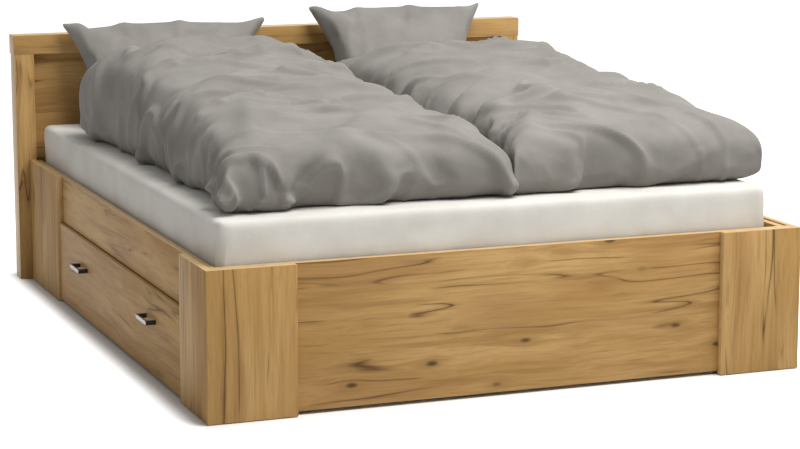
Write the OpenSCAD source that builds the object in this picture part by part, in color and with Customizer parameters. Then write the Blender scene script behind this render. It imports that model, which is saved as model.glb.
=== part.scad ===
// Platform bed for one double mattress, with a long storage drawer on castors at each side.
// X runs across the bed (+X is the right side seen from the foot), Y from the foot to the
// headboard, Z up. The origin is on the floor at the centre of the overall length and width.
// "Left" is the -X side. Boards are laminated chipboard, inner parts are pine and steel.

/* [Mattress] */
// Width of the mattress with its fitted sheet
mattress_w = 1610; // [1200:5:2000]
// Length of the mattress with its fitted sheet
mattress_l = 1990; // [1650:5:2400]
// Thickness of the mattress
mattress_h = 196; // [140:2:260]
// Radius of the mattress's edges and corners
mattress_r = 35; // [15:1:60]
// Spare width between the mattress and the side panels, both sides together
side_play = 50; // [20:1:80]
// Part of the spare width that is on the left
left_play = 5; // [3:1:15]
// Spare length between the mattress, the foot panel and the headboard together
end_play = 18; // [12:1:60]
// Part of the spare length that is at the foot
foot_play = 6; // [3:1:10]

/* [Boards] */
// Thickness of the post boards that face the frame
post_t = 20; // [16:1:28]
// Thickness of the foot panel, the side panels and the crossbar
panel_t = 22; // [16:1:28]
// Height of the frame's posts over the floor
frame_h = 408; // [370:1:500]
// Step from the top of the posts down to the top of the side panels
panel_drop = 4; // [0:1:10]
// Height of the upper side panels
side_panel_h = 145; // [120:1:160]
// Gap under the foot panel
foot_gap = 10; // [5:1:40]
// Width of the foot posts on the foot face
foot_post_w = 247; // [150:1:320]
// Width of the foot posts on the side face
foot_post_d = 254; // [150:1:320]
// Width of the head posts on the side face
head_post_d = 390; // [200:1:450]

/* [Headboard] */
// Height of the headboard
head_h = 823; // [690:1:1000]
// Thickness of the headboard's rail and stiles
head_t = 66; // [45:1:90]
// Distance that the top rail reaches past the frame on each side
head_reach = 42; // [10:1:80]
// Height of the top rail
rail_h = 64; // [45:1:90]
// Width of the stiles
stile_w = 65; // [45:1:90]
// Step from the end of the top rail in to the stile
stile_step = 3; // [0:1:10]
// Depth at which the planks are set back from the front of the stiles
plank_setback = 32; // [10:1:36]
// Thickness of the two planks
plank_t = 22; // [16:1:28]
// Height of the upper plank
upper_plank_h = 201; // [120:1:240]
// Height of the lower plank's bottom edge over the floor
plank_floor_gap = 120; // [60:1:200]
// Chamfer at the joint between the two planks
plank_chamfer = 2; // [0.5:0.5:4]

/* [Slatted base] */
// Thickness of the slats
slat_t = 12; // [8:1:20]
// Width of the slats
slat_w = 70; // [40:1:90]
// Number of slats on each side
slat_count = 14; // [8:1:16]
// Height of the slat bearers
bearer_h = 40; // [25:1:50]
// Depth of the slat bearers
bearer_w = 30; // [20:1:45]
// Height of the slat bearers over the bottom edge of the side panels
bearer_rise = 16; // [14:1:30]
// Height of the centre beam
beam_h = 50; // [35:1:70]
// Width of the centre beam
beam_w = 70; // [50:1:90]
// Thickness of the tapes that hold the slats apart
tape_t = 1; // [0.5:0.5:2]
// Width of the tapes
tape_w = 25; // [15:1:40]
// Height of the crossbar at the head end
crossbar_h = 180; // [80:1:200]
// Radius of the centre legs
leg_r = 16; // [10:1:25]

/* [Drawers] */
// Gap round the drawer fronts
drawer_gap = 3; // [2:0.5:6]
// Gap between the drawer fronts and the floor
drawer_floor_gap = 10; // [5:1:20]
// Distance of the drawer fronts behind the face of the posts
drawer_setback = 7; // [2:1:15]
// Thickness of the drawer fronts, sides and backs
drawer_t = 16; // [12:1:20]
// Distance of the drawers' backs from the middle of the bed
drawer_mid_gap = 165; // [60:1:300]
// Step from the top of the drawer fronts down to the drawer sides
drawer_side_drop = 20; // [5:1:60]
// Distance of the drawer sides from the ends of the front
drawer_side_inset = 20; // [10:1:60]
// Thickness of the drawer bottom
drawer_bottom_t = 12; // [6:1:18]

/* [Handles] */
// Distance between the two screws of a handle
handle_pitch = 96; // [64:32:160]
// Thickness of a handle's legs
handle_leg = 10; // [8:1:16]
// Thickness of a handle's grip
handle_grip = 6; // [4:1:10]
// Height of a handle
handle_h = 12.5; // [8:0.5:20]
// Distance that a handle stands out of the front
handle_out = 30; // [22:1:40]
// Distance of the handles from the middle of the drawer front
handle_off = 390; // [200:1:500]
// Distance of the handles' middle below the top of the drawer front
handle_drop = 89; // [40:1:110]

/* [Castors] */
// Radius of the castor wheels
wheel_r = 20; // [15:1:28]
// Width of the castor wheels
wheel_w = 16; // [10:1:24]
// Gap between the castor wheels and their mounting plate
wheel_gap = 5; // [3:1:12]
// Radius of the castor axles
axle_r = 3; // [2:0.5:4]
// Radial running clearance between axle and wheel
axle_play = 0.08; // [0.02:0.01:0.1]
// Gap between a wheel and each cheek of its housing
cheek_gap = 1; // [0.5:0.25:2]
// Distance of the castors from the ends of the drawer box
castor_inset = 60; // [40:1:120]

/* [Fixings] */
// Radius of the wood screws
screw_r = 2; // [1.5:0.25:3]
// Radius of the heads of the screws
screw_head_r = 4; // [3:0.25:5]
// Thickness of the heads of the screws
screw_head_h = 2.5; // [1.5:0.5:4]
// Gap between a screw, bolt or dowel and the wood round it
fixing_gap = 0.1; // [0.05:0.05:0.3]
// Radius of the dowels
dowel_r = 4; // [3:0.5:5]
// Length of the dowels
dowel_l = 40; // [30:1:50]
// Radius of the headboard bolts
bolt_r = 3; // [2.5:0.5:4]
// Height of the glides under the boards
glide_h = 2; // [1.5:0.5:5]
// Radius of the glides
glide_r = 9; // [6:0.5:9]

/* [Bedding] */
// Distance of the left duvet from the mattress's left edge
duvet_inset = 50; // [0:5:100]
// Distance that the right duvet reaches past the mattress's right edge
duvet_over = 20; // [0:1:24]
// Gap between the two duvets
duvet_space = 20; // [5:1:60]
// Distance of the duvets from the mattress's foot end
duvet_foot = 90; // [40:5:200]
// Gap between the duvets and the front of the pillows
duvet_pillow_gap = 91; // [20:1:400]
// Height of the duvets over the mattress at the foot
duvet_foot_h = 160; // [100:5:220]
// Height of the left duvet over the mattress at the head
duvet_head_h = 300; // [200:5:330]
// Difference in height between the left and the right duvet at the head
duvet_head_step = 35; // [0:5:60]
// Distance of the left pillow from the mattress's left edge
pillow_inset = 45; // [0:5:120]
// Distance of the right pillow from the mattress's right edge
pillow_right_inset = 70; // [0:5:120]
// Gap between the two pillows
pillow_space = 135; // [10:5:300]
// Height of the pillows over the mattress
pillow_h = 358; // [250:2:400]
// Thickness of the pillows at the bottom
pillow_t = 150; // [100:5:200]
// Thickness of the pillows at their top edge
pillow_top_t = 44; // [30:2:80]
// Distance over which a pillow leans from its foot to the headboard
pillow_lean = 260; // [200:5:320]
// Gap between the bedding's pieces
bedding_gap = 1; // [0.5:0.5:5]

/* [Hidden] */
$fn = 48;
soft_fn = 32;

left = -1;
right = 1;

// Colours
oak = "#b08e5c";
oak_light = "#c9a876";
pine = "#dcc08c";
beech = "#e0c49a";
steel = "#9a9da0";
black = "#1d1b1a";
grey_plastic = "#55575a";
duvet_grey = "#98948d";
sheet_white = "#dedad0";
tape_white = "#e8e6e0";

// Overall sizes
well_w = mattress_w + side_play;
frame_w = well_w + 2 * (panel_t + post_t);
bed_l = post_t + panel_t + end_play + mattress_l + head_t;
head_w = frame_w + 2 * head_reach;

// Stations along the length
foot_y = -bed_l / 2;
panel_y = foot_y + post_t;
well_y = panel_y + panel_t;
head_y = bed_l / 2 - head_t;
crossbar_y = head_y - panel_t;
open_y0 = foot_y + foot_post_d;
open_y1 = head_y - head_post_d;
open_mid = (open_y0 + open_y1) / 2;

// Stations across the width, on the right-hand side
frame_x = frame_w / 2;
panel_x = frame_x - post_t;
well_x = panel_x - panel_t;
stile_x = head_w / 2 - stile_step;

// Heights
side_top = frame_h - panel_drop;
side_bottom = side_top - side_panel_h;
bearer_bottom = side_bottom + bearer_rise;
bearer_top = bearer_bottom + bearer_h;
slat_top = bearer_top + slat_t;
mattress_z = slat_top + tape_t;
mattress_top = mattress_z + mattress_h;
rail_z = head_h - rail_h;
plank_joint_z = rail_z - upper_plank_h;
beam_z = bearer_top - beam_h;

// Headboard
stile_inner_x = stile_x - stile_w;
plank_y = head_y + plank_setback;
dowel_spread = 26;
dowel_inset = 50;
joint_dowel_inset = 90;
plank_dowel_z = [
    plank_floor_gap + dowel_inset, plank_joint_z - joint_dowel_inset,
    plank_joint_z + dowel_inset, rail_z - dowel_inset,
];
// The bolts pass below and above the lowest dowel
bolt_steps = [-60, 45];
bolt_zs = [for (step = bolt_steps) plank_dowel_z[0] + step];
bolt_reach = 42;
bolt_head_r = 6.5;
bolt_head_h = 5;
nut_r = 5;
nut_l = 14;
nut_inset = 32;

// Screws that join the boards: how far they reach into the second board
screw_bite = 14;
screw_inset = 60;
screw_edge = 40;
post_screw_xs = [screw_edge, foot_post_w - screw_inset];
post_screw_low = screw_inset;
post_screw_rise = 25;
post_screw_high = bearer_top + post_screw_rise;
post_screw_zs = [post_screw_low, (post_screw_low + post_screw_high) / 2, post_screw_high];
side_screw_ys = [
    foot_y + 90, open_y0 - screw_edge,
    open_y1 + 50, head_y - screw_inset,
];
side_screw_low = 8;
side_screw_high = 35;

// Inner parts
block_w = 40;
block_gap = 4;
block_top = side_bottom - block_gap;
block_bottom = 20;
slat_end_gap = 4;
slat_foot_gap = 12;
slat_head_gap = 20;
slat_y0 = well_y + slat_foot_gap;
slat_y1 = head_y - slat_head_gap;
tape_shares = [0.25, 0.75];
shoe_t = 2;
shoe_l = 40;
shoe_flange = 25;
leg_plate = 60;
leg_plate_t = 3;
leg_foot_h = 12;
leg_foot_r = 20;
leg_wall = 1.5;
leg_ys = [-bed_l / 5, bed_l / 5];
bearer_screw_count = 6;
bearer_screw_end = 120;

// Glides: a disc with a nail
glide_pin_r = 1.5;
glide_pin_l = 15;
glide_inset = 30;
// Their places on the right-hand side, under each board
front_glides = [
    [frame_x - foot_post_w + glide_inset, foot_y + post_t / 2],
    [frame_x - 2 * glide_inset, foot_y + post_t / 2],
];
side_glides = [[frame_x - post_t / 2, open_y0 - glide_inset]];
head_glides = [
    [frame_x - post_t / 2, open_y1 + glide_inset],
    [frame_x - post_t / 2, head_y - glide_inset],
];
stile_glides = [[stile_x - stile_w / 2, head_y + head_t / 2]];

// Drawer, right-hand side
front_x = frame_x - drawer_setback;
front_back_x = front_x - drawer_t;
box_inner_x = drawer_mid_gap;
front_y0 = open_y0 + drawer_gap;
front_y1 = open_y1 - drawer_gap;
front_top = side_bottom - drawer_gap;
box_y0 = front_y0 + drawer_side_inset;
box_y1 = front_y1 - drawer_side_inset;
plate_t = 3;
castor_h = 2 * wheel_r + wheel_gap + plate_t;
box_z = castor_h + drawer_bottom_t;
box_top = front_top - drawer_side_drop;
castor_xs = [front_back_x - castor_inset, box_inner_x + castor_inset];
castor_ys = [box_y0 + castor_inset, box_y1 - castor_inset];
cheek_t = 2;
cheek_r = 9;
plate_l = 46;
axle_head_r = 4.5;
axle_head_h = 1.2;
hub_wall = 4;
tyre_t = 5;
tyre_edge = 2;
handle_chamfer = 1.5;
handle_ys = [open_mid - handle_off, open_mid + handle_off];
handle_z = front_top - handle_drop;

// Bedding
mattress_x0 = -well_x + left_play;
mattress_y0 = well_y + foot_play;
duvet_foot_r = duvet_foot_h / 2;
duvet_head_r = 90;
duvet_w = (mattress_w - duvet_inset - duvet_space + duvet_over) / 2;
duvet_x0 = mattress_x0 + duvet_inset;
duvet_y0 = mattress_y0 + duvet_foot;
duvet_y1 = head_y - bedding_gap - pillow_lean - duvet_pillow_gap;
pillow_w = (mattress_w - pillow_inset - pillow_space - pillow_right_inset) / 2;
pillow_x0 = mattress_x0 + pillow_inset;

// A box given by its lowest and highest corners
module block(low, high) translate(low) cube(high - low);

// Draws a right-hand part, or its mirror image for the left
module on_side(side) {
    if (side == right) children();
    else mirror([1, 0, 0]) children();
}

// Turns a part that points along +Z to point along +X, +Y or -Y
module along_x() rotate([0, 90, 0]) children();
module along_y() rotate([-90, 0, 0]) children();
module along_minus_y() rotate([90, 0, 0]) children();

// A pin, such as a bolt's shank, from the origin along +Z. A gap makes it the hole for that pin
module pin(radius, length, gap = 0)
    translate([0, 0, -gap]) cylinder(r = radius + gap, h = length + 2 * gap);

// A screw with its head's outer face at the origin, pointing along +Z
module screw(length, gap = 0) {
    pin(screw_r, length, gap);
    pin(screw_head_r, screw_head_h, gap);
}

// ---------------------------------------------------------------- headboard

module rail_dowels(gap = 0) {
    for (side = [left, right], off = [-dowel_spread / 2, dowel_spread / 2])
        translate([side * (stile_x - stile_w / 2) + off, head_y + head_t / 2, rail_z - dowel_l / 2])
            pin(dowel_r, dowel_l, gap);
}

module plank_dowels(gap = 0) {
    for (side = [left, right], z = plank_dowel_z)
        translate([side * stile_inner_x - dowel_l / 2, plank_y + plank_t / 2, z])
            along_x() pin(dowel_r, dowel_l, gap);
}

module headboard_dowels() color(beech) {
    rail_dowels();
    plank_dowels();
}

module headboard_top_rail() color(oak) difference() {
    block([-head_w / 2, head_y, rail_z], [head_w / 2, head_y + head_t, head_h]);
    rail_dowels(fixing_gap);
}

module headboard_stile(side) color(oak) difference() {
    on_side(side) difference() {
        block([stile_inner_x, head_y, glide_h], [stile_x, head_y + head_t, rail_z]);
        headboard_bolt_pair(fixing_gap);
        glide_pins(stile_glides, fixing_gap);
    }
    rail_dowels(fixing_gap);
    plank_dowels(fixing_gap);
}

// Each plank has a chamfer along the joint, which leaves a V groove
module plank(z0, z1, chamfer_low) {
    c = plank_chamfer;
    section = chamfer_low
        ? [[0, z0 + c], [c, z0], [plank_t, z0], [plank_t, z1], [0, z1]]
        : [[0, z0], [plank_t, z0], [plank_t, z1], [c, z1], [0, z1 - c]];
    translate([-stile_inner_x, plank_y, 0])
        rotate([90, 0, 90])
            linear_extrude(height = 2 * stile_inner_x) polygon(section);
}

module headboard_upper_panel() color(oak) difference() {
    plank(plank_joint_z, rail_z, true);
    plank_dowels(fixing_gap);
}

module headboard_lower_panel() color(oak) difference() {
    plank(plank_floor_gap, plank_joint_z, false);
    plank_dowels(fixing_gap);
}

// Two bolts per side run through a stile into the head post, where cross nuts hold them
module headboard_bolt_pair(gap = 0) {
    for (z = bolt_zs)
        translate([frame_x - post_t / 2, bed_l / 2, z]) along_minus_y() {
            pin(bolt_r, head_t + bolt_reach, gap);
            pin(bolt_head_r, bolt_head_h, gap);
        }
}

module headboard_bolts() color(steel)
    for (side = [left, right]) on_side(side) headboard_bolt_pair();

module barrel_nut_pair(gap = 0) {
    for (z = bolt_zs)
        translate([panel_x, head_y - nut_inset, z]) along_x() pin(nut_r, nut_l, gap);
}

module barrel_nuts() color(steel)
    for (side = [left, right]) on_side(side) difference() {
        barrel_nut_pair();
        headboard_bolt_pair(fixing_gap);
    }

// ---------------------------------------------------------------- posts and panels

// Screws from the back of the foot panel into the front boards of the posts
module foot_screws(gap = 0) {
    for (x = post_screw_xs, z = post_screw_zs)
        translate([panel_x - x, well_y, z]) along_minus_y() screw(panel_t + screw_bite, gap);
}

// Screws from inside a side panel into the side boards of the posts
module side_screws(gap = 0) {
    for (y = side_screw_ys, z = [side_bottom + side_screw_low, side_top - side_screw_high])
        translate([well_x, y, z]) along_x() screw(panel_t + screw_bite, gap);
}

module panel_screws() color(steel)
    for (side = [left, right]) on_side(side) {
        foot_screws();
        side_screws();
    }

module foot_panel() color(oak) difference() {
    block([-panel_x, panel_y, foot_gap], [panel_x, well_y, frame_h]);
    for (side = [left, right]) on_side(side) foot_screws(fixing_gap);
}

// The front and side boards of a foot post meet in a mitre
module foot_post_front(side) color(oak) on_side(side) difference() {
    translate([0, 0, glide_h]) linear_extrude(height = frame_h - glide_h)
        polygon([[frame_x, foot_y], [panel_x, panel_y],
                 [frame_x - foot_post_w, panel_y], [frame_x - foot_post_w, foot_y]]);
    foot_screws(fixing_gap);
    glide_pins(front_glides, fixing_gap);
}

module foot_post_side(side) color(oak) on_side(side) difference() {
    translate([0, 0, glide_h]) linear_extrude(height = frame_h - glide_h)
        polygon([[frame_x, foot_y], [frame_x, open_y0],
                 [panel_x, open_y0], [panel_x, panel_y]]);
    side_screws(fixing_gap);
    glide_pins(side_glides, fixing_gap);
}

module head_post(side) color(oak) on_side(side) difference() {
    block([panel_x, open_y1, glide_h], [frame_x, head_y, frame_h]);
    side_screws(fixing_gap);
    headboard_bolt_pair(fixing_gap);
    barrel_nut_pair(fixing_gap);
    glide_pins(head_glides, fixing_gap);
}

module side_panel(side) color(oak) on_side(side) difference() {
    block([well_x, well_y, side_bottom], [panel_x, head_y, side_top]);
    side_screws(fixing_gap);
    bearer_screw_row(fixing_gap);
}

// ---------------------------------------------------------------- inside the frame

module corner_blocks() color(pine)
    for (side = [left, right], y = [well_y, crossbar_y - block_w]) on_side(side)
        block([panel_x - block_w, y, block_bottom], [panel_x, y + block_w, block_top]);

module head_crossbar() color(oak)
    block([-well_x, crossbar_y, bearer_top - crossbar_h], [well_x, head_y, bearer_top]);

// The bearers are screwed to the side panels from inside
module bearer_screw_row(gap = 0) {
    pitch = (crossbar_y - well_y - 2 * bearer_screw_end) / (bearer_screw_count - 1);
    for (i = [0 : bearer_screw_count - 1])
        translate([well_x - bearer_w, well_y + bearer_screw_end + i * pitch,
                   bearer_bottom + bearer_h / 2])
            along_x() screw(bearer_w + screw_bite, gap);
}

module bearer_screws() color(steel)
    for (side = [left, right]) on_side(side) bearer_screw_row();

module slat_bearer(side) color(pine) on_side(side) difference() {
    block([well_x - bearer_w, well_y, bearer_bottom], [well_x, crossbar_y, bearer_top]);
    bearer_screw_row(fixing_gap);
}

module centre_beam() color(pine)
    block([-beam_w / 2, well_y + shoe_t, beam_z], [beam_w / 2, crossbar_y - shoe_t, bearer_top]);

// A steel shoe holds each end of the beam: a floor, two cheeks and a flange on the panel
module beam_shoe() {
    half = beam_w / 2;
    block([-half - shoe_t, 0, beam_z - shoe_t], [half + shoe_t, shoe_l, beam_z]);
    for (side = [left, right]) on_side(side)
        block([half, 0, beam_z - shoe_t], [half + shoe_t, shoe_l, bearer_top - shoe_t]);
    block([-half - shoe_flange, 0, beam_z - shoe_t], [half + shoe_flange, shoe_t, bearer_top - shoe_t]);
}

module beam_shoes() color(steel) {
    translate([0, well_y, 0]) beam_shoe();
    translate([0, crossbar_y, 0]) mirror([0, 1, 0]) beam_shoe();
}

module centre_legs() color(steel) for (y = leg_ys) translate([0, y, 0]) {
    difference() {
        translate([0, 0, leg_foot_h]) cylinder(r = leg_r, h = beam_z - leg_foot_h);
        translate([0, 0, leg_foot_h - leg_plate_t])
            cylinder(r = leg_r - leg_wall, h = beam_z - leg_foot_h);
    }
    translate([-leg_plate / 2, -leg_plate / 2, beam_z - leg_plate_t])
        cube([leg_plate, leg_plate, leg_plate_t]);
}

// Each foot has a flange under the tube and a plug inside it
module centre_leg_feet() color(black) for (y = leg_ys) translate([0, y, 0]) {
    cylinder(r = leg_foot_r, h = leg_foot_h);
    cylinder(r = leg_r - leg_wall - fixing_gap, h = 2 * leg_foot_h);
}

module slats(side) color(beech) on_side(side) {
    pitch = (slat_y1 - slat_y0 - slat_w) / (slat_count - 1);
    for (i = [0 : slat_count - 1]) translate([slat_end_gap, slat_y0 + i * pitch, bearer_top])
        cube([well_x - 2 * slat_end_gap, slat_w, slat_t]);
}

module slat_tapes() color(tape_white)
    for (side = [left, right], share = tape_shares) on_side(side)
        translate([slat_end_gap + share * (well_x - 2 * slat_end_gap) - tape_w / 2, slat_y0, slat_top])
            cube([tape_w, slat_y1 - slat_y0, tape_t]);

// ---------------------------------------------------------------- glides

module glide_pins(places, gap = 0) {
    for (place = places) translate([place[0], place[1], glide_h])
        pin(glide_pin_r, glide_pin_l, gap);
}

module floor_glides() color(black)
    for (side = [left, right]) on_side(side)
        for (places = [front_glides, side_glides, head_glides, stile_glides]) {
            for (place = places) translate([place[0], place[1], 0])
                cylinder(r = glide_r, h = glide_h);
            glide_pins(places);
        }

// ---------------------------------------------------------------- drawers

// Screws from inside the drawer, through its front, into the handles' legs
module handle_screw_pair(y, gap = 0) {
    for (off = [-handle_pitch / 2, handle_pitch / 2])
        translate([front_back_x - screw_head_h, y + off, handle_z]) along_x() {
            pin(screw_r, screw_head_h + drawer_t + handle_leg, gap);
            if (gap == 0) pin(screw_head_r, screw_head_h);
        }
}

module drawer_front(side) color(oak) on_side(side) difference() {
    block([front_back_x, front_y0, drawer_floor_gap], [front_x, front_y1, front_top]);
    for (y = handle_ys) handle_screw_pair(y, fixing_gap);
}

module drawer_side(side, y) color(oak_light) on_side(side)
    block([box_inner_x, y, box_z], [front_back_x, y + drawer_t, box_top]);

module drawer_back(side) color(oak_light) on_side(side)
    block([box_inner_x, box_y0 + drawer_t, box_z],
          [box_inner_x + drawer_t, box_y1 - drawer_t, box_top]);

module drawer_bottom(side) color(oak_light) on_side(side)
    block([box_inner_x, box_y0, castor_h], [front_back_x, box_y1, box_z]);

// A bow handle: two legs and a flat grip, with chamfered outer corners
module handle(side, y) color(black) on_side(side) difference() {
    half = (handle_pitch + handle_leg) / 2;
    c = handle_chamfer;
    translate([front_x, y, handle_z - handle_h / 2]) linear_extrude(height = handle_h)
        polygon([
            [0, -half], [handle_out - c, -half], [handle_out, -half + c],
            [handle_out, half - c], [handle_out - c, half], [0, half],
            [0, half - handle_leg], [handle_out - handle_grip, half - handle_leg],
            [handle_out - handle_grip, -half + handle_leg], [0, -half + handle_leg],
        ]);
    handle_screw_pair(y, fixing_gap);
}

module handle_screws(side) color(steel) on_side(side)
    for (y = handle_ys) handle_screw_pair(y);

// A fixed castor's housing: a plate under the drawer and two cheeks that hold the axle
module castor_housing(x, y) {
    outer = wheel_w / 2 + cheek_gap + cheek_t;
    difference() {
        translate([x, y, 0]) {
            block([-plate_l / 2, -outer, castor_h - plate_t], [plate_l / 2, outer, castor_h]);
            for (cheek = [-outer, outer - cheek_t]) translate([0, cheek, 0]) {
                block([-cheek_r, 0, wheel_r], [cheek_r, cheek_t, castor_h - plate_t]);
                translate([0, 0, wheel_r]) along_y() cylinder(r = cheek_r, h = cheek_t);
            }
        }
        axle_bore(x, y, fixing_gap / 2);
    }
}

module axle_bore(x, y, gap = 0) {
    reach = wheel_w / 2 + cheek_gap + cheek_t;
    translate([x, y - reach, wheel_r]) along_y() cylinder(r = axle_r + gap, h = 2 * reach);
}

module castor_axle(x, y) {
    reach = wheel_w / 2 + cheek_gap + cheek_t;
    axle_bore(x, y);
    for (end = [-reach - axle_head_h, reach])
        translate([x, y + end, wheel_r]) along_y() cylinder(r = axle_head_r, h = axle_head_h);
}

// The wheel's section from the bore out: hub, web and a rounded tyre
module castor_wheel(x, y) {
    bore = axle_r + axle_play;
    hub = axle_r + hub_wall;
    web = wheel_w / 4;
    tyre = wheel_r - tyre_t;
    edge = tyre_edge;
    half = wheel_w / 2;
    translate([x, y, wheel_r]) along_y() rotate_extrude($fn = 72)
        polygon([
            [bore, -half], [hub, -half], [hub, -web], [tyre, -web], [tyre, -half],
            [wheel_r - edge, -half], [wheel_r, -half + edge],
            [wheel_r, half - edge], [wheel_r - edge, half],
            [tyre, half], [tyre, web], [hub, web], [hub, half], [bore, half],
        ]);
}

module castor_housings(side) color(black) on_side(side)
    for (x = castor_xs, y = castor_ys) castor_housing(x, y);

module castor_axles(side) color(steel) on_side(side)
    for (x = castor_xs, y = castor_ys) castor_axle(x, y);

module drawer_wheels(side, x) color(grey_plastic) on_side(side)
    for (y = castor_ys) castor_wheel(x, y);

// ---------------------------------------------------------------- bedding

// An upright disc whose two rims are rounded with radius r
module soft_puck(r, height) rotate_extrude($fn = soft_fn) {
    square([r / 2, height]);
    for (z = [r, height - r]) translate([0, z]) intersection() {
        circle(r, $fn = soft_fn);
        translate([0, -r]) square([r, 2 * r]);
    }
    translate([0, r]) square([r, height - 2 * r]);
}

// A block with round edges of radius r
module soft_block(low, high, r) hull()
    for (x = [low[0] + r, high[0] - r], y = [low[1] + r, high[1] - r])
        translate([x, y, low[2]]) soft_puck(r, high[2] - low[2]);

module mattress() color(sheet_white)
    soft_block([mattress_x0, mattress_y0, mattress_z],
               [mattress_x0 + mattress_w, mattress_y0 + mattress_l, mattress_top], mattress_r);

// A duvet is low and round at the foot and rises towards the pillow
module duvet(x0, head_height) {
    z0 = mattress_top + bedding_gap;
    low_r = duvet_foot_r;
    top_r = duvet_head_r;
    hull() {
        for (x = [x0 + low_r, x0 + duvet_w - low_r], y = [duvet_y0 + low_r, duvet_y1 - low_r])
            translate([x, y, z0 + low_r]) sphere(r = low_r, $fn = soft_fn);
        for (x = [x0 + low_r + top_r, x0 + duvet_w - low_r - top_r])
            translate([x, duvet_y1 - top_r, z0 + head_height - top_r]) sphere(r = top_r, $fn = soft_fn);
    }
}

module duvet_left() color(duvet_grey) duvet(duvet_x0, duvet_head_h);

module duvet_right() color(duvet_grey)
    duvet(duvet_x0 + duvet_w + duvet_space, duvet_head_h - duvet_head_step);

// A pillow stands on the mattress and leans back against the headboard's top rail
module pillow(x0) {
    foot_r = pillow_t / 2;
    top_r = pillow_top_t / 2;
    z0 = mattress_top + bedding_gap;
    y_top = head_y - bedding_gap - top_r;
    hull() for (x = [x0, x0 + pillow_w]) {
        inward = x == x0 ? 1 : -1;
        translate([x + inward * foot_r, y_top - pillow_lean + foot_r + top_r, z0 + foot_r])
            sphere(r = foot_r, $fn = soft_fn);
        translate([x + inward * top_r, y_top, z0 + pillow_h - top_r])
            sphere(r = top_r, $fn = soft_fn);
    }
}

module pillow_left() color(duvet_grey) pillow(pillow_x0);

module pillow_right() color(duvet_grey) pillow(pillow_x0 + pillow_w + pillow_space);

// ---------------------------------------------------------------- nodes

headboard_top_rail();
headboard_stile(left);  // headboard_stile_left
headboard_stile(right);  // headboard_stile_right
headboard_upper_panel();
headboard_lower_panel();
headboard_dowels();
headboard_bolts();
barrel_nuts();
foot_panel();
foot_post_front(left);  // foot_post_front_left
foot_post_front(right);  // foot_post_front_right
foot_post_side(left);  // foot_post_side_left
foot_post_side(right);  // foot_post_side_right
head_post(left);  // head_post_left
head_post(right);  // head_post_right
side_panel(left);  // side_panel_left
side_panel(right);  // side_panel_right
panel_screws();
corner_blocks();
head_crossbar();
slat_bearer(left);  // slat_bearer_left
slat_bearer(right);  // slat_bearer_right
bearer_screws();
centre_beam();
beam_shoes();
centre_legs();
centre_leg_feet();
slats(left);  // slats_left
slats(right);  // slats_right
slat_tapes();
floor_glides();
drawer_front(left);  // drawer_left_front
drawer_side(left, box_y0);  // drawer_left_foot_side
drawer_side(left, box_y1 - drawer_t);  // drawer_left_head_side
drawer_back(left);  // drawer_left_back
drawer_bottom(left);  // drawer_left_bottom
handle(left, handle_ys[0]);  // drawer_left_handle_foot
handle(left, handle_ys[1]);  // drawer_left_handle_head
handle_screws(left);  // drawer_left_handle_screws
castor_housings(left);  // drawer_left_castor_housings
castor_axles(left);  // drawer_left_castor_axles
drawer_wheels(left, castor_xs[0]);  // drawer_left_wheels_front
drawer_wheels(left, castor_xs[1]);  // drawer_left_wheels_back
drawer_front(right);  // drawer_right_front
drawer_side(right, box_y0);  // drawer_right_foot_side
drawer_side(right, box_y1 - drawer_t);  // drawer_right_head_side
drawer_back(right);  // drawer_right_back
drawer_bottom(right);  // drawer_right_bottom
handle(right, handle_ys[0]);  // drawer_right_handle_foot
handle(right, handle_ys[1]);  // drawer_right_handle_head
handle_screws(right);  // drawer_right_handle_screws
castor_housings(right);  // drawer_right_castor_housings
castor_axles(right);  // drawer_right_castor_axles
drawer_wheels(right, castor_xs[0]);  // drawer_right_wheels_front
drawer_wheels(right, castor_xs[1]);  // drawer_right_wheels_back
mattress();
duvet_left();
duvet_right();
pillow_left();
pillow_right();
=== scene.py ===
# Platform bed for one double mattress, with a long drawer at each side and its bedding.
# X runs across the bed, Y from the foot to the headboard and Z up, in metres.
import math

import bpy
import numpy as np
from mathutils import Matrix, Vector, noise


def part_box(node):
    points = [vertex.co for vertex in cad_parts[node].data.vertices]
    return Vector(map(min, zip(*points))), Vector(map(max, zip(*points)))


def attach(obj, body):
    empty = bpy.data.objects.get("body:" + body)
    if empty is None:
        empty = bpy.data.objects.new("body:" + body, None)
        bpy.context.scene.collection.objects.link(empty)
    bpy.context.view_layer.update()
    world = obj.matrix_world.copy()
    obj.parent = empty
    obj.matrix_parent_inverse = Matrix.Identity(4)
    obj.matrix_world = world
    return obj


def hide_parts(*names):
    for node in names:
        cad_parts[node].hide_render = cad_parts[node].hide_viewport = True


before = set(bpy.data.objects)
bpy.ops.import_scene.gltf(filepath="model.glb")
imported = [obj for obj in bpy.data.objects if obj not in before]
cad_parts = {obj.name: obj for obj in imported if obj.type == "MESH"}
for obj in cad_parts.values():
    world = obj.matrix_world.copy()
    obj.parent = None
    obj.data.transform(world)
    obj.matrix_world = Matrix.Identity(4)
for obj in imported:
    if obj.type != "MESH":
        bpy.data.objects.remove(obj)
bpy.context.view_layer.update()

# ---------------------------------------------------------------- camera
# The bed is seen from its foot end, from the left and a little above, through a long lens.
CAMERA_PLACE = (-2.565, -6.770, 1.593)
CAMERA_TILT_DEG = 79.84
CAMERA_TURN_DEG = -21.28
CAMERA_LENS_MM = 106.8

bpy.ops.object.camera_add(
    location=CAMERA_PLACE,
    rotation=(math.radians(CAMERA_TILT_DEG), 0, math.radians(CAMERA_TURN_DEG)),
)
camera = bpy.context.object
camera.data.lens = CAMERA_LENS_MM
bpy.context.scene.camera = camera


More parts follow.
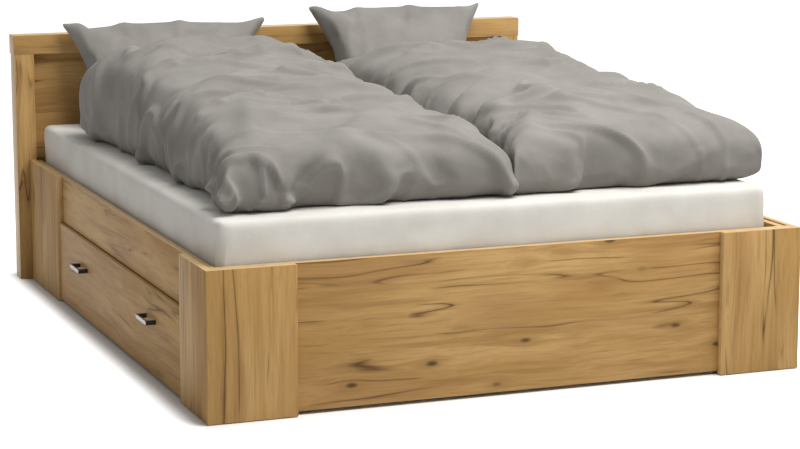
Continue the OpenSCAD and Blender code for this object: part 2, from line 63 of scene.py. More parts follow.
# ---------------------------------------------------------------- floor and light
# A white studio sweep: a matt floor that keeps the bed's soft shadow, one wide soft light in
# front on the right, and even light from all round.
FLOOR_SIZE = 40
FLOOR_COLOUR = "#ececec"
FLOOR_LIFT = 0.86
FLOOR_LIFT_FADE = 0.09
# Half-size of the box round the bed inside which the floor's glow is cut: painted shade
SHADED_HALF = (0.87, 1.07, 1.0)
SKY_COLOUR = "#ffffff"
SKY_STRENGTH = 0.315
KEY_PLACE = (1.3, -1.9, 5.0)
KEY_TARGET = (0, 0, 0.4)
KEY_SIZE = 3.4
KEY_WATTS = 352


def colour(hexadecimal):
    """An sRGB colour such as #b08e5c, as the linear RGBA that a shader takes."""
    levels = [int(hexadecimal[i : i + 2], 16) / 255 for i in (1, 3, 5)]
    linear = [c / 12.92 if c <= 0.04045 else ((c + 0.055) / 1.055) ** 2.4 for c in levels]
    return (*linear, 1)


def add_node(tree, kind, inputs=None, **settings):
    """Adds a node. An input is given a value, or the output that it is linked to."""
    node = tree.nodes.new(kind)
    for name, value in settings.items():
        setattr(node, name, value)
    for name, value in (inputs or {}).items():
        if isinstance(value, bpy.types.NodeSocket):
            tree.links.new(value, node.inputs[name])
        else:
            node.inputs[name].default_value = value
    return node


def new_material(name):
    """An empty material, with its output node."""
    material = bpy.data.materials.new(name)
    material.use_nodes = True
    material.node_tree.nodes.clear()
    return material, material.node_tree, material.node_tree.nodes.new("ShaderNodeOutputMaterial")


def background_ray(tree):
    """1 for the rays that see the background itself: camera, mirror and glass rays."""
    path = add_node(tree, "ShaderNodeLightPath")
    glossy = add_node(
        tree,
        "ShaderNodeMath",
        {0: path.outputs["Is Camera Ray"], 1: path.outputs["Is Glossy Ray"]},
        operation="MAXIMUM",
    )
    every = add_node(
        tree,
        "ShaderNodeMath",
        {0: glossy.outputs[0], 1: path.outputs["Is Transmission Ray"]},
        operation="MAXIMUM",
    )
    return every.outputs[0]


def matt_floor():
    """Matt studio paper. It reads as plain white, and only the bed's shadow shows on it, made
    darker near the bed by painted shade.
    """
    material, tree, out = new_material("studio_paper")
    paper = add_node(tree, "ShaderNodeBsdfDiffuse", {"Color": colour(FLOOR_COLOUR)})
    # The lift fades out towards the bed and is none under it, so that its shadow stays dark.
    # This paints shade on a band round the bed's base, darker than the light there makes it
    place = add_node(tree, "ShaderNodeTexCoord").outputs["Object"]
    folded = add_node(tree, "ShaderNodeVectorMath", {0: place}, operation="ABSOLUTE")
    beyond = add_node(
        tree,
        "ShaderNodeVectorMath",
        {0: folded.outputs[0], 1: SHADED_HALF},
        operation="SUBTRACT",
    )
    outside = add_node(
        tree, "ShaderNodeVectorMath", {0: beyond.outputs[0], 1: (0, 0, 0)}, operation="MAXIMUM"
    )
    distance = add_node(
        tree, "ShaderNodeVectorMath", {0: outside.outputs[0]}, operation="LENGTH"
    ).outputs["Value"]
    fade = add_node(
        tree,
        "ShaderNodeMapRange",
        {"Value": distance, "From Max": FLOOR_LIFT_FADE, "To Max": FLOOR_LIFT},
        interpolation_type="SMOOTHERSTEP",
    )
    lift = add_node(
        tree,
        "ShaderNodeMath",
        {0: background_ray(tree), 1: fade.outputs[0]},
        operation="MULTIPLY",
    )
    glow = add_node(
        tree, "ShaderNodeEmission", {"Color": colour(SKY_COLOUR), "Strength": lift.outputs[0]}
    )
    both = add_node(tree, "ShaderNodeAddShader", {0: paper.outputs[0], 1: glow.outputs[0]})
    tree.links.new(both.outputs[0], out.inputs["Surface"])
    return material


bpy.ops.object.select_all(action="DESELECT")
bpy.ops.mesh.primitive_plane_add(size=FLOOR_SIZE)
floor = bpy.context.object
floor.name = "studio_floor"
floor.data.materials.append(matt_floor())

world = bpy.data.worlds.new("studio")
world.use_nodes = True
world.node_tree.nodes.clear()
bpy.context.scene.world = world
sky_out = world.node_tree.nodes.new("ShaderNodeOutputWorld")
sky_light = add_node(
    world.node_tree,
    "ShaderNodeBackground",
    {"Color": colour(SKY_COLOUR), "Strength": SKY_STRENGTH},
)
sky_seen = add_node(
    world.node_tree, "ShaderNodeBackground", {"Color": colour(SKY_COLOUR), "Strength": 1}
)
sky = add_node(
    world.node_tree,
    "ShaderNodeMixShader",
    {0: background_ray(world.node_tree), 1: sky_light.outputs[0], 2: sky_seen.outputs[0]},
)
world.node_tree.links.new(sky.outputs[0], sky_out.inputs["Surface"])

bpy.ops.object.light_add(type="AREA", location=KEY_PLACE)
key = bpy.context.object
key.data.size = KEY_SIZE
key.data.energy = KEY_WATTS
key.rotation_euler = (Vector(KEY_TARGET) - key.location).to_track_quat("-Z", "Y").to_euler()

bpy.context.scene.view_settings.view_transform = "Standard"


# ---------------------------------------------------------------- boards of the frame
# Chipboard boards 20 and 22 mm thick with a printed melamine face, a golden oak with dark
# cracks and knots, and an edge band on each narrow face, lighter than the face in part as a
# painted highlight on its rounded edges. They are screwed together from inside, so no fixing shows.
BAND_RADIUS = 0.0012
OAK_PALE = "#c29d67"
OAK_GOLD = "#b08a53"
OAK_BROWN = "#94703f"
OAK_RED = "#a67e50"
CRACK_BROWN = "#54391f"
KNOT_BROWN = "#4a321c"
# Lighter than the print: the band's own tone, and in part a painted highlight on its rounded edges
BAND_TONE_AND_HIGHLIGHT = "#c7a672"
# Turns that bring each grain direction onto the pattern's own X axis, in degrees
GRAIN_TURNS = {"x": (0, 0, 0), "y": (0, 0, -90), "z": (0, 90, 0)}
# The print's layers from broad to fine: size along and across the grain in metres, detail,
# the noise levels between which the layer sets in, its strength and its colour
OAK_LAYERS = (
    (0.80, 0.090, 3, 0.36, 0.64, 1.00, OAK_GOLD),
    (0.45, 0.110, 2, 0.48, 0.72, 0.65, OAK_RED),
    (0.60, 0.030, 3, 0.50, 0.74, 0.75, OAK_BROWN),
    (0.30, 0.009, 3, 0.46, 0.76, 0.55, OAK_BROWN),
    (0.08, 0.0024, 2, 0.42, 0.72, 0.30, OAK_BROWN),
)
KNOT_CELL = (0.24, 0.10, 0.10)


def oak_print(name, grain, shift):
    """Printed melamine in golden oak. Soft brown bands, fine fibres, thin dark cracks and a
    few small knots all run with the grain under a satin lacquer with a broad dull gloss."""
    material, tree, out = new_material(name)
    turn = [math.radians(angle) for angle in GRAIN_TURNS[grain]]
    place = add_node(tree, "ShaderNodeTexCoord").outputs["Object"]
    place = add_node(
        tree, "ShaderNodeMapping", {"Vector": place, "Location": shift, "Rotation": turn}
    ).outputs[0]

    # One knot a cell, dark in about half of them, and the grain bends round each
    cells = add_node(
        tree,
        "ShaderNodeVectorMath",
        {0: place, 1: [1 / size for size in KNOT_CELL]},
        operation="MULTIPLY",
    ).outputs[0]
    knots = add_node(tree, "ShaderNodeTexVoronoi", {"Vector": cells, "Scale": 1})
    distance = knots.outputs["Distance"]
    dark = add_node(
        tree,
        "ShaderNodeMapRange",
        {"Value": knots.outputs["Color"], "From Min": 0.45, "From Max": 0.55},
    ).outputs[0]
    away = add_node(
        tree,
        "ShaderNodeVectorMath",
        {0: cells, 1: knots.outputs["Position"]},
        operation="SUBTRACT",
    )
    push = add_node(
        tree,
        "ShaderNodeMapRange",
        {"Value": distance, "From Min": 0.02, "From Max": 0.4, "To Min": 0.05, "To Max": 0},
        interpolation_type="SMOOTHSTEP",
    )
    pushed = add_node(
        tree,
        "ShaderNodeVectorMath",
        {0: away.outputs[0], "Scale": push.outputs[0]},
        operation="SCALE",
    )
    wander = add_node(tree, "ShaderNodeTexNoise", {"Vector": place, "Scale": 2.2, "Detail": 1})
    drift = add_node(
        tree,
        "ShaderNodeVectorMath",
        {0: wander.outputs["Color"], 1: (0, 0.045, 0.045), 2: place},
        operation="MULTIPLY_ADD",
    )
    flow = add_node(
        tree,
        "ShaderNodeVectorMath",
        {0: drift.outputs[0], 1: pushed.outputs[0]},
        operation="SUBTRACT",
    ).outputs[0]

    tone = colour(OAK_PALE)
    for along, across, detail, low, high, strength, tint in OAK_LAYERS:
        scaled = add_node(
            tree,
            "ShaderNodeVectorMath",
            {0: flow, 1: (1 / along, 1 / across, 1 / across)},
            operation="MULTIPLY",
        )
        cloud = add_node(
            tree,
            "ShaderNodeTexNoise",
            {"Vector": scaled.outputs[0], "Scale": 1, "Detail": detail},
        )
        layer = add_node(
            tree,
            "ShaderNodeMapRange",
            {"Value": cloud.outputs["Fac"], "From Min": low, "From Max": high, "To Max": strength},
            interpolation_type="SMOOTHSTEP",
        ).outputs[0]
        tone = add_node(
            tree, "ShaderNodeMix", {0: layer, 6: tone, 7: colour(tint)}, data_type="RGBA"
        ).outputs[2]
    fibres = layer

    # Cracks are the thin level lines of a long noise, kept only where a second noise is high
    long_place = add_node(
        tree,
        "ShaderNodeVectorMath",
        {0: flow, 1: (1.1, 22, 22)},
        operation="MULTIPLY",
    )
    long_noise = add_node(
        tree, "ShaderNodeTexNoise", {"Vector": long_place.outputs[0], "Scale": 1, "Detail": 1}
    )
    level = add_node(
        tree,
        "ShaderNodeMath",
        {0: long_noise.outputs["Fac"], 1: 0.5},
        operation="SUBTRACT",
    )
    off_line = add_node(tree, "ShaderNodeMath", {0: level.outputs[0]}, operation="ABSOLUTE")
    patch_place = add_node(
        tree, "ShaderNodeVectorMath", {0: place, 1: (3.4, 9, 9)}, operation="MULTIPLY"
    )
    patches = add_node(
        tree, "ShaderNodeTexNoise", {"Vector": patch_place.outputs[0], "Scale": 1, "Detail": 1}
    )
    kept = add_node(
        tree,
        "ShaderNodeMapRange",
        {"Value": patches.outputs["Fac"], "From Min": 0.50, "From Max": 0.60},
    ).outputs[0]
    for width, strength in ((0.055, 0.4), (0.014, 0.9)):
        line = add_node(
            tree,
            "ShaderNodeMapRange",
            {"Value": off_line.outputs[0], "From Max": width, "To Min": strength, "To Max": 0},
        )
        crack = add_node(
            tree, "ShaderNodeMath", {0: line.outputs[0], 1: kept}, operation="MULTIPLY"
        )
        tone = add_node(
            tree,
            "ShaderNodeMix",
            {0: crack.outputs[0], 6: tone, 7: colour(CRACK_BROWN)},
            data_type="RGBA",
        ).outputs[2]
    for inner, outer, strength, tint in (
        (0.06, 0.30, 0.45, OAK_BROWN),
        (0.03, 0.10, 0.85, KNOT_BROWN),
    ):
        ring = add_node(
            tree,
            "ShaderNodeMapRange",
            {
                "Value": distance,
                "From Min": inner,
                "From Max": outer,
                "To Min": strength,
                "To Max": 0,
            },
            interpolation_type="SMOOTHSTEP",
        )
        knot = add_node(tree, "ShaderNodeMath", {0: ring.outputs[0], 1: dark}, operation="MULTIPLY")
        tone = add_node(
            tree,
            "ShaderNodeMix",
            {0: knot.outputs[0], 6: tone, 7: colour(tint)},
            data_type="RGBA",
        ).outputs[2]

    pores = add_node(
        tree,
        "ShaderNodeBump",
        {"Height": fibres, "Strength": 0.3, "Distance": 0.0003},
        invert=True,
    )
    satin = add_node(
        tree, "ShaderNodeMapRange", {"Value": fibres, "To Min": 0.5, "To Max": 0.66}
    )
    lacquer = add_node(
        tree,
        "ShaderNodeBsdfPrincipled",
        {
            "Base Color": tone,
            "Roughness": satin.outputs[0],
            "IOR": 1.5,
            "Specular IOR Level": 0.12,
            "Normal": pores.outputs[0],
        },
    )
    tree.links.new(lacquer.outputs[0], out.inputs["Surface"])
    return material


def oak_edge_band():
    """ABS edge band in a lighter plain oak with faint lines, the lightness in part a painted
    highlight on the rounded edges. It draws a pale outline round each board."""
    material, tree, out = new_material("oak_edge_band")
    place = add_node(tree, "ShaderNodeTexCoord").outputs["Object"]
    streaks = add_node(
        tree, "ShaderNodeTexNoise", {"Vector": place, "Scale": 60, "Detail": 4}
    ).outputs["Fac"]
    share = add_node(
        tree,
        "ShaderNodeMapRange",
        {"Value": streaks, "From Min": 0.35, "From Max": 0.7, "To Max": 0.5},
    )
    tone = add_node(
        tree,
        "ShaderNodeMix",
        {0: share.outputs[0], 6: colour(BAND_TONE_AND_HIGHLIGHT), 7: colour(OAK_GOLD)},
        data_type="RGBA",
    )
    band = add_node(
        tree,
        "ShaderNodeBsdfPrincipled",
        {"Base Color": tone.outputs[2], "Roughness": 0.42, "IOR": 1.53},
    )
    tree.links.new(band.outputs[0], out.inputs["Surface"])
    return material


EDGE_BAND = oak_edge_band()


def select_verts(piece, test):
    """In edit mode, selects only the vertices whose place passes the test."""
    bpy.ops.mesh.select_mode(type="VERT")
    bpy.ops.mesh.select_all(action="DESELECT")
    bpy.ops.object.mode_set(mode="OBJECT")
    for vertex in piece.data.vertices:
        vertex.select = test(vertex.co)
    bpy.ops.object.mode_set(mode="EDIT")


def new_box(name, low, high):
    """A box between two corners, with its place in its mesh, left in edit mode."""
    bpy.ops.object.select_all(action="DESELECT")
    bpy.ops.mesh.primitive_cube_add(size=1, location=(low + high) / 2, scale=high - low)
    piece = bpy.context.object
    piece.name = name
    bpy.ops.object.transform_apply(location=True, rotation=True, scale=True)
    bpy.ops.object.mode_set(mode="EDIT")
    return piece


def board(node, grain, shift, body="frame", flat=None, corner=None, slide=None):
    """A board in place of its CAD node, with rounded banded edges. Its printed faces are
    square to the axis flat. A mitred board's inner edge at corner slides back along it."""
    low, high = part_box(node)
    size = high - low
    if flat is None:
        flat = min(range(3), key=lambda axis: size[axis])
    piece = new_box(node + "_board", low, high)
    if corner:
        select_verts(piece, lambda place: (place.xy - Vector(corner)).length < BAND_RADIUS)
        bpy.ops.transform.translate(value=slide)
    bpy.ops.mesh.select_all(action="SELECT")
    bpy.ops.mesh.bevel(offset=BAND_RADIUS, segments=2, affect="EDGES")
    bpy.ops.object.mode_set(mode="OBJECT")
    piece.data.materials.append(oak_print(node + "_oak", grain, shift))
    piece.data.materials.append(EDGE_BAND)
    for face in piece.data.polygons:
        face.material_index = 0 if abs(face.normal[flat]) > 0.7 else 1
    bpy.ops.object.shade_smooth_by_angle(angle=math.radians(35))
    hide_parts(node)
    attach(piece, body)
    return piece


board("foot_panel", "x", (0.4, 0.3, 0.1))
for side, sign, offset in (("left", -1, 2.0), ("right", 1, 5.0)):
    front_low, front_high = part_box("foot_post_front_" + side)
    side_low, side_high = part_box("foot_post_side_" + side)
    outer_x = front_high.x if sign > 0 else front_low.x
    inner_x = side_low.x if sign > 0 else side_high.x
    board(
        "foot_post_front_" + side,
        "z",
        (0.2, offset, 0.5),
        corner=(outer_x, front_high.y),
        slide=(inner_x - outer_x, 0, 0),
    )
    board(
        "foot_post_side_" + side,
        "z",
        (0.7, offset, 0.9),
        corner=(inner_x, side_low.y),
        slide=(0, front_high.y - front_low.y, 0),
    )
    board("head_post_" + side, "z", (0.1, offset, 1.7))
    board("side_panel_" + side, "y", (offset, 0.6, 2.3))


# ---------------------------------------------------------------- headboard
# A thick top rail on two thick stiles, with two planks set back between them. The stiles are
# bolted to the head posts from behind, and each bolt head sits in a round recess.
HEAD_RECESS_GAP = 0.0006

board("headboard_top_rail", "x", (1.3, 3.1, 0.2), flat=1)
board("headboard_upper_panel", "x", (2.2, 1.4, 0.7))
board("headboard_lower_panel", "x", (0.5, 2.6, 1.9))

bolts_low, bolts_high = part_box("headboard_bolts")
bolt_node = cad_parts["headboard_bolts"]
back_y = bolts_high.y
head_points = [v.co for v in bolt_node.data.vertices if v.co.y > back_y - 0.0001]
for side, sign, offset in (("left", -1, 3.3), ("right", 1, 4.1)):
    stile = board("headboard_stile_" + side, "z", (offset, 0.8, 2.9), flat=1)
    here = [p for p in head_points if p.x * sign > 0]
    head_x = (min(p.x for p in here) + max(p.x for p in here)) / 2
    head_r = (max(p.x for p in here) - min(p.x for p in here)) / 2
    middle_z = (min(p.z for p in here) + max(p.z for p in here)) / 2
    for part in (
        [p.z for p in here if p.z < middle_z],
        [p.z for p in here if p.z > middle_z],
    ):
        bpy.ops.object.select_all(action="DESELECT")
        bpy.ops.mesh.primitive_cylinder_add(
            vertices=32,
            radius=head_r + HEAD_RECESS_GAP,
            depth=0.0102,
            location=(head_x, back_y, (min(part) + max(part)) / 2),
            rotation=(math.radians(90), 0, 0),
        )
        cutter = bpy.context.object
        bpy.context.view_layer.objects.active = stile
        recess = stile.modifiers.new("recess", "BOOLEAN")
        recess.object = cutter
        bpy.ops.object.modifier_apply(modifier="recess")
        bpy.data.objects.remove(cutter)


# ---------------------------------------------------------------- inside the frame
# Pine bearers, beam and blocks, beech slats on woven tapes and dowels, zinc-plated screws,
# bolts, shoes and legs, and moulded black feet and glides. All keep their built shape.
def solid_wood(name, grain, pale, dark, ring, line):
    """Planed softwood or beech, unfinished: pale, dull, with growth lines a few millimetres
    apart that run with the grain."""
    material, tree, out = new_material(name)
    turn = [math.radians(angle) for angle in GRAIN_TURNS[grain]]
    place = add_node(tree, "ShaderNodeTexCoord").outputs["Object"]
    turned = add_node(tree, "ShaderNodeMapping", {"Vector": place, "Rotation": turn})
    scaled = add_node(
        tree,
        "ShaderNodeVectorMath",
        {0: turned.outputs[0], 1: (1 / line, 1 / ring, 1 / ring)},
        operation="MULTIPLY",
    )
    rings = add_node(
        tree, "ShaderNodeTexNoise", {"Vector": scaled.outputs[0], "Scale": 1, "Detail": 3}
    ).outputs["Fac"]
    share = add_node(
        tree, "ShaderNodeMapRange", {"Value": rings, "From Min": 0.35, "From Max": 0.7}
    )
    tone = add_node(
        tree,
        "ShaderNodeMix",
        {0: share.outputs[0], 6: colour(pale), 7: colour(dark)},
        data_type="RGBA",
    )
    relief = add_node(tree, "ShaderNodeBump", {"Height": rings, "Distance": 0.0003})
    wood = add_node(
        tree,
        "ShaderNodeBsdfPrincipled",
        {
            "Base Color": tone.outputs[2],
            "Roughness": 0.62,
            "IOR": 1.5,
            "Normal": relief.outputs[0],
        },
    )
    tree.links.new(wood.outputs[0], out.inputs["Surface"])
    return material


def fine_grained(name, first, second, grain, depth, roughness, metallic=0.0, index=1.5):
    """A surface with an even fine grain of two tones: zinc plate, moulded plastic, rubber,
    powder coat or woven tape, by its colours, grain size and shine."""
    material, tree, out = new_material(name)
    place = add_node(tree, "ShaderNodeTexCoord").outputs["Object"]
    speck = add_node(
        tree, "ShaderNodeTexNoise", {"Vector": place, "Scale": 1 / grain, "Detail": 3}
    ).outputs["Fac"]
    tone = add_node(
        tree,
        "ShaderNodeMix",
        {0: speck, 6: colour(first), 7: colour(second)},
        data_type="RGBA",
    )
    relief = add_node(tree, "ShaderNodeBump", {"Height": speck, "Distance": depth})
    surface = add_node(
        tree,
        "ShaderNodeBsdfPrincipled",
        {
            "Base Color": tone.outputs[2],
            "Roughness": roughness,
            "Metallic": metallic,
            "IOR": index,
            "Normal": relief.outputs[0],
        },
    )
    tree.links.new(surface.outputs[0], out.inputs["Surface"])
    return material


def dress(material, *nodes):
    """Gives CAD nodes that keep their shape their real finish."""
    for node in nodes:
        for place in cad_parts[node].material_slots:
            place.material = material


ZINC = fine_grained("zinc_plate", "#a5a7a6", "#c3c4c0", 0.004, 0.00005, 0.36, metallic=1)
BLACK_PLASTIC = fine_grained("moulded_polypropylene", "#17171a", "#242426", 0.001, 0.0001, 0.5)
board("head_crossbar", "x", (2.9, 0.2, 1.1))
dress(
    solid_wood("planed_pine_lengthwise", "y", "#dfc38e", "#c99e62", 0.009, 0.5),
    "slat_bearer_left",
    "slat_bearer_right",
    "centre_beam",
)
dress(solid_wood("planed_pine_upright", "z", "#dfc38e", "#c99e62", 0.009, 0.5), "corner_blocks")
dress(
    solid_wood("planed_beech", "x", "#e0c19a", "#c99f74", 0.004, 0.09),
    "slats_left",
    "slats_right",
    "headboard_dowels",
)
dress(
    ZINC,
    "headboard_bolts",
    "barrel_nuts",
    "panel_screws",
    "bearer_screws",
    "beam_shoes",
    "centre_legs",
)
dress(BLACK_PLASTIC, "centre_leg_feet", "floor_glides")
dress(fine_grained("woven_tape", "#d9d6cc", "#f2f0ea", 0.0016, 0.0004, 0.9), "slat_tapes")


# ---------------------------------------------------------------- drawers
# Each drawer is a box of 16 mm melamine board on four fixed castors that roll on the floor.
# Its front is the same golden oak as the frame, with the grain running lengthwise.
GREY_RUBBER = fine_grained("grey_rubber", "#4c4d50", "#616266", 0.003, 0.0001, 0.62)
BOX_LONG_OAK = oak_print("drawer_box_oak_lengthwise", "y", (3.7, 2.2, 0.9))
BOX_CROSS_OAK = oak_print("drawer_box_oak_crosswise", "x", (1.7, 4.2, 0.3))

for side, offset in (("left", 0.9), ("right", 3.4)):
    drawer = "drawer_" + side
    board(drawer + "_front", "y", (offset, 2.0, 1.3), body=drawer)
    dress(BOX_LONG_OAK, drawer + "_back", drawer + "_bottom")
    dress(BOX_CROSS_OAK, drawer + "_foot_side", drawer + "_head_side")
    dress(ZINC, drawer + "_handle_screws", drawer + "_castor_axles")
    dress(BLACK_PLASTIC, drawer + "_castor_housings")
    dress(GREY_RUBBER, drawer + "_wheels_front", drawer + "_wheels_back")


# ---------------------------------------------------------------- handles
# Two bow handles a drawer, cast in zinc with black powder coat. The grip's outer face is
# bare satin nickel, and each leg is screwed on from inside the front.
HANDLE_LEG = 0.010
HANDLE_GRIP = 0.006
HANDLE_ROUND = 0.0012
BLACK_COAT = fine_grained("black_powder_coat", "#141210", "#211d1a", 0.0012, 0.0002, 0.45)
SATIN_NICKEL = fine_grained(
    "satin_nickel", "#85807a", "#9b968f", 0.002, 0.00004, 0.34, metallic=1
)


def bow_handle(node, body, outward):
    """One handle: a flat grip whose two ends are drawn back to the drawer front as legs."""
    low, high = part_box(node)
    front_x, tip_x = (low.x, high.x) if outward > 0 else (high.x, low.x)
    grip_back = tip_x - outward * HANDLE_GRIP
    piece = new_box(
        node + "_bow",
        Vector((min(grip_back, tip_x), low.y, low.z)),
        Vector((max(grip_back, tip_x), high.y, high.z)),
    )
    for cut in (low.y + HANDLE_LEG, high.y - HANDLE_LEG):
        bpy.ops.mesh.select_all(action="SELECT")
        bpy.ops.mesh.bisect(plane_co=(0, cut, 0), plane_no=(0, 1, 0))
    bpy.ops.mesh.select_mode(type="FACE")
    bpy.ops.mesh.select_all(action="DESELECT")
    bpy.ops.object.mode_set(mode="OBJECT")
    for face in piece.data.polygons:
        ends = min(face.center.y - low.y, high.y - face.center.y) < HANDLE_LEG
        face.select = face.normal.x * outward < -0.9 and ends
    bpy.ops.object.mode_set(mode="EDIT")
    bpy.ops.mesh.extrude_region_move(
        TRANSFORM_OT_translate={"value": (front_x - grip_back, 0, 0)}
    )
    bpy.ops.object.mode_set(mode="OBJECT")
    bow = piece.modifiers.new("rounding", "BEVEL")
    bow.width = HANDLE_ROUND
    bow.segments = 3
    bpy.ops.object.modifier_apply(modifier="rounding")
    piece.data.materials.append(BLACK_COAT)
    piece.data.materials.append(SATIN_NICKEL)
    for face in piece.data.polygons:
        face.material_index = 1 if face.normal.x * outward > 0.9 else 0
    bpy.ops.object.shade_smooth_by_angle(angle=math.radians(35))
    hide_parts(node)
    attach(piece, body)


for side, outward in (("left", -1), ("right", 1)):
    for end in ("foot", "head"):
        bow_handle(f"drawer_{side}_handle_{end}", "drawer_" + side, outward)


# ---------------------------------------------------------------- mattress and fitted sheet
# A foam mattress in a knitted cover, and over it a white jersey sheet whose elastic hem is
# tucked under all round. The sheet is taut on top, creased at the corners and a little loose
# on the sides.
COVER_GAP = 0.007
MATTRESS_ROUND = 0.024
TUCK_WIDTH = 0.16
SHEET_THICK = 0.0008
SHEET_CELL = 0.022
CREASE_DEPTH = 0.0035
PIPING_RISE = 0.0025
SHEET_WHITE = "#dad7cf"
SHEET_SHADE = "#cfcbc3"


def woven_cloth(name, first, second, thread, crumple, sheen):
    """Plain cotton or jersey: matt, with a faint fuzz that lightens its edges, a fine weave,
    soft changes of tone and shallow crumples. Threads are drawn coarser than they are, so
    that they show."""
    material, tree, out = new_material(name)
    place = add_node(tree, "ShaderNodeTexCoord").outputs["Object"]
    blotch = add_node(
        tree, "ShaderNodeTexNoise", {"Vector": place, "Scale": 7, "Detail": 3}
    ).outputs["Fac"]
    share = add_node(
        tree, "ShaderNodeMapRange", {"Value": blotch, "From Min": 0.35, "From Max": 0.65}
    )
    tone = add_node(
        tree,
        "ShaderNodeMix",
        {0: share.outputs[0], 6: colour(first), 7: colour(second)},
        data_type="RGBA",
    )
    weave = add_node(
        tree, "ShaderNodeTexNoise", {"Vector": place, "Scale": 1 / thread, "Detail": 2}
    ).outputs["Fac"]
    threads = add_node(
        tree, "ShaderNodeBump", {"Height": weave, "Strength": 0.35, "Distance": thread / 4}
    )
    folds = add_node(
        tree,
        "ShaderNodeTexNoise",
        {"Vector": place, "Scale": 9, "Detail": 3, "Distortion": 0.3},
    ).outputs["Fac"]
    crumples = add_node(
        tree,
        "ShaderNodeBump",
        {"Height": folds, "Distance": crumple, "Normal": threads.outputs[0]},
    )
    cloth = add_node(
        tree,
        "ShaderNodeBsdfPrincipled",
        {
            "Base Color": tone.outputs[2],
            "Roughness": 0.88,
            "IOR": 1.45,
            "Sheen Weight": sheen,
            "Sheen Roughness": 0.5,
            "Normal": crumples.outputs[0],
        },
    )
    tree.links.new(cloth.outputs[0], out.inputs["Surface"])
    return material


def soft_core(name, low, high, radius):
    """A block with round edges, and faces small enough for its surface to be shaped."""
    piece = new_box(name, low, high)
    bpy.ops.mesh.select_all(action="SELECT")
    bpy.ops.mesh.bevel(offset=radius, segments=5, affect="EDGES")
    size = high - low
    for axis in range(3):
        for step in range(1, round(size[axis] / SHEET_CELL)):
            cut = [0, 0, 0]
            cut[axis] = low[axis] + step * SHEET_CELL
            if radius < cut[axis] - low[axis] < size[axis] - radius:
                normal = [float(i == axis) for i in range(3)]
                bpy.ops.mesh.select_all(action="SELECT")
                bpy.ops.mesh.bisect(plane_co=cut, plane_no=normal)
    bpy.ops.object.mode_set(mode="OBJECT")
    return piece


def points_of(piece):
    """The piece's vertices as an array, one row each."""
    flat = np.empty(len(piece.data.vertices) * 3, np.float32)
    piece.data.vertices.foreach_get("co", flat)
    return flat.reshape(-1, 3).astype(float)


def move_points(piece, points):
    """Puts the piece's vertices where the rows of the array say."""
    piece.data.vertices.foreach_set("co", np.asarray(points, np.float32).ravel())
    piece.data.update()


low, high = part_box("mattress")
inside = Vector((COVER_GAP, COVER_GAP, COVER_GAP))
mattress = soft_core("mattress_foam", low + inside, high - inside, MATTRESS_ROUND)
for face in mattress.data.polygons:
    face.use_smooth = True
mattress.data.materials.append(
    woven_cloth("knitted_ticking", "#d8d5cd", "#e6e3dc", 0.0022, 0.002, 0.1)
)
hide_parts("mattress")
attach(mattress, "frame")

sheet = soft_core("fitted_sheet", low, high, MATTRESS_ROUND)
middle = (low + high) / 2
half = (high - low) / 2
bpy.ops.object.mode_set(mode="EDIT")
bpy.ops.mesh.select_mode(type="FACE")
bpy.ops.mesh.select_all(action="DESELECT")
bpy.ops.object.mode_set(mode="OBJECT")
for face in sheet.data.polygons:
    centre = face.center - middle
    under = face.normal.z < -0.9
    face.select = under and all(abs(centre[i]) < half[i] - TUCK_WIDTH for i in (0, 1))
bpy.ops.object.mode_set(mode="EDIT")
bpy.ops.mesh.delete(type="FACE")
bpy.ops.object.mode_set(mode="OBJECT")

# Creases run down from each corner, and the sides wave a little between them
points = points_of(sheet)
for row, point in enumerate(points):
    place = Vector(point)
    reach = [half[i] - abs(place[i] - middle[i]) for i in (0, 1)]
    side = max(0, 1 - min(reach) / MATTRESS_ROUND)
    drop = (high.z - place.z) / (high.z - low.z)
    along = place.x + place.y
    corner_near = math.exp(-((max(reach) / 0.10) ** 2))
    crease = math.sin(along * 150 + 6 * drop) * corner_near
    wave = noise.noise((along * 5.5, drop * 1.4, 3.0)) * 0.8
    depth = side * CREASE_DEPTH * (crease + wave - 0.3) * math.sin(math.pi * min(1, drop + 0.1))
    ripple = (1 - side) * 0.0012 * noise.noise((place.x * 3, place.y * 2, 7.0))
    outward = Vector(
        (
            math.copysign(reach[0] < MATTRESS_ROUND, place.x - middle.x),
            math.copysign(reach[1] < MATTRESS_ROUND, place.y - middle.y),
            0,
        )
    )
    normal = sheet.data.vertices[row].normal
    piping = PIPING_RISE * math.exp(-(((normal.z - 0.7) / 0.15) ** 2))
    place += outward * depth + normal * piping
    points[row] = place + Vector((0, 0, ripple if drop < 0.1 else 0))
move_points(sheet, points)
for face in sheet.data.polygons:
    face.use_smooth = True
shell = sheet.modifiers.new("thickness", "SOLIDIFY")
shell.thickness = SHEET_THICK
shell.offset = -1
bpy.context.view_layer.objects.active = sheet
bpy.ops.object.modifier_apply(modifier="thickness")
sheet.data.materials.append(
    woven_cloth("cotton_jersey", SHEET_WHITE, SHEET_SHADE, 0.0016, 0.003, 0.15)
)
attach(sheet, "frame")
size = high - low


# ---------------------------------------------------------------- duvets
# Two thick down duvets in plain grey cotton covers, each folded to half its width and laid
# lengthwise. They are low and rolled at the foot and heap up towards the pillows.
COTTON_GREY = "#8c8882"
COTTON_SHADE = "#7f7b75"
DUVET_CELL = 0.014
FLOOR_LIFT_GAP = 0.0015
FOOT_SHIFT = 0.024


def even_arc(half_width, height, count, roundness):
    """Places from edge to edge that are evenly spaced along a superellipse of that height."""
    angles = np.linspace(-math.pi / 2, math.pi / 2, 2001)
    power = 2 / roundness
    across = half_width * np.sign(np.sin(angles)) * np.abs(np.sin(angles)) ** power
    lift = np.abs(np.cos(angles)) ** power
    steps = np.hypot(np.diff(across), np.diff(lift) * height)
    length = np.concatenate([[0], np.cumsum(steps)])
    even = np.linspace(0, length[-1], count)
    return np.interp(even, length, across)


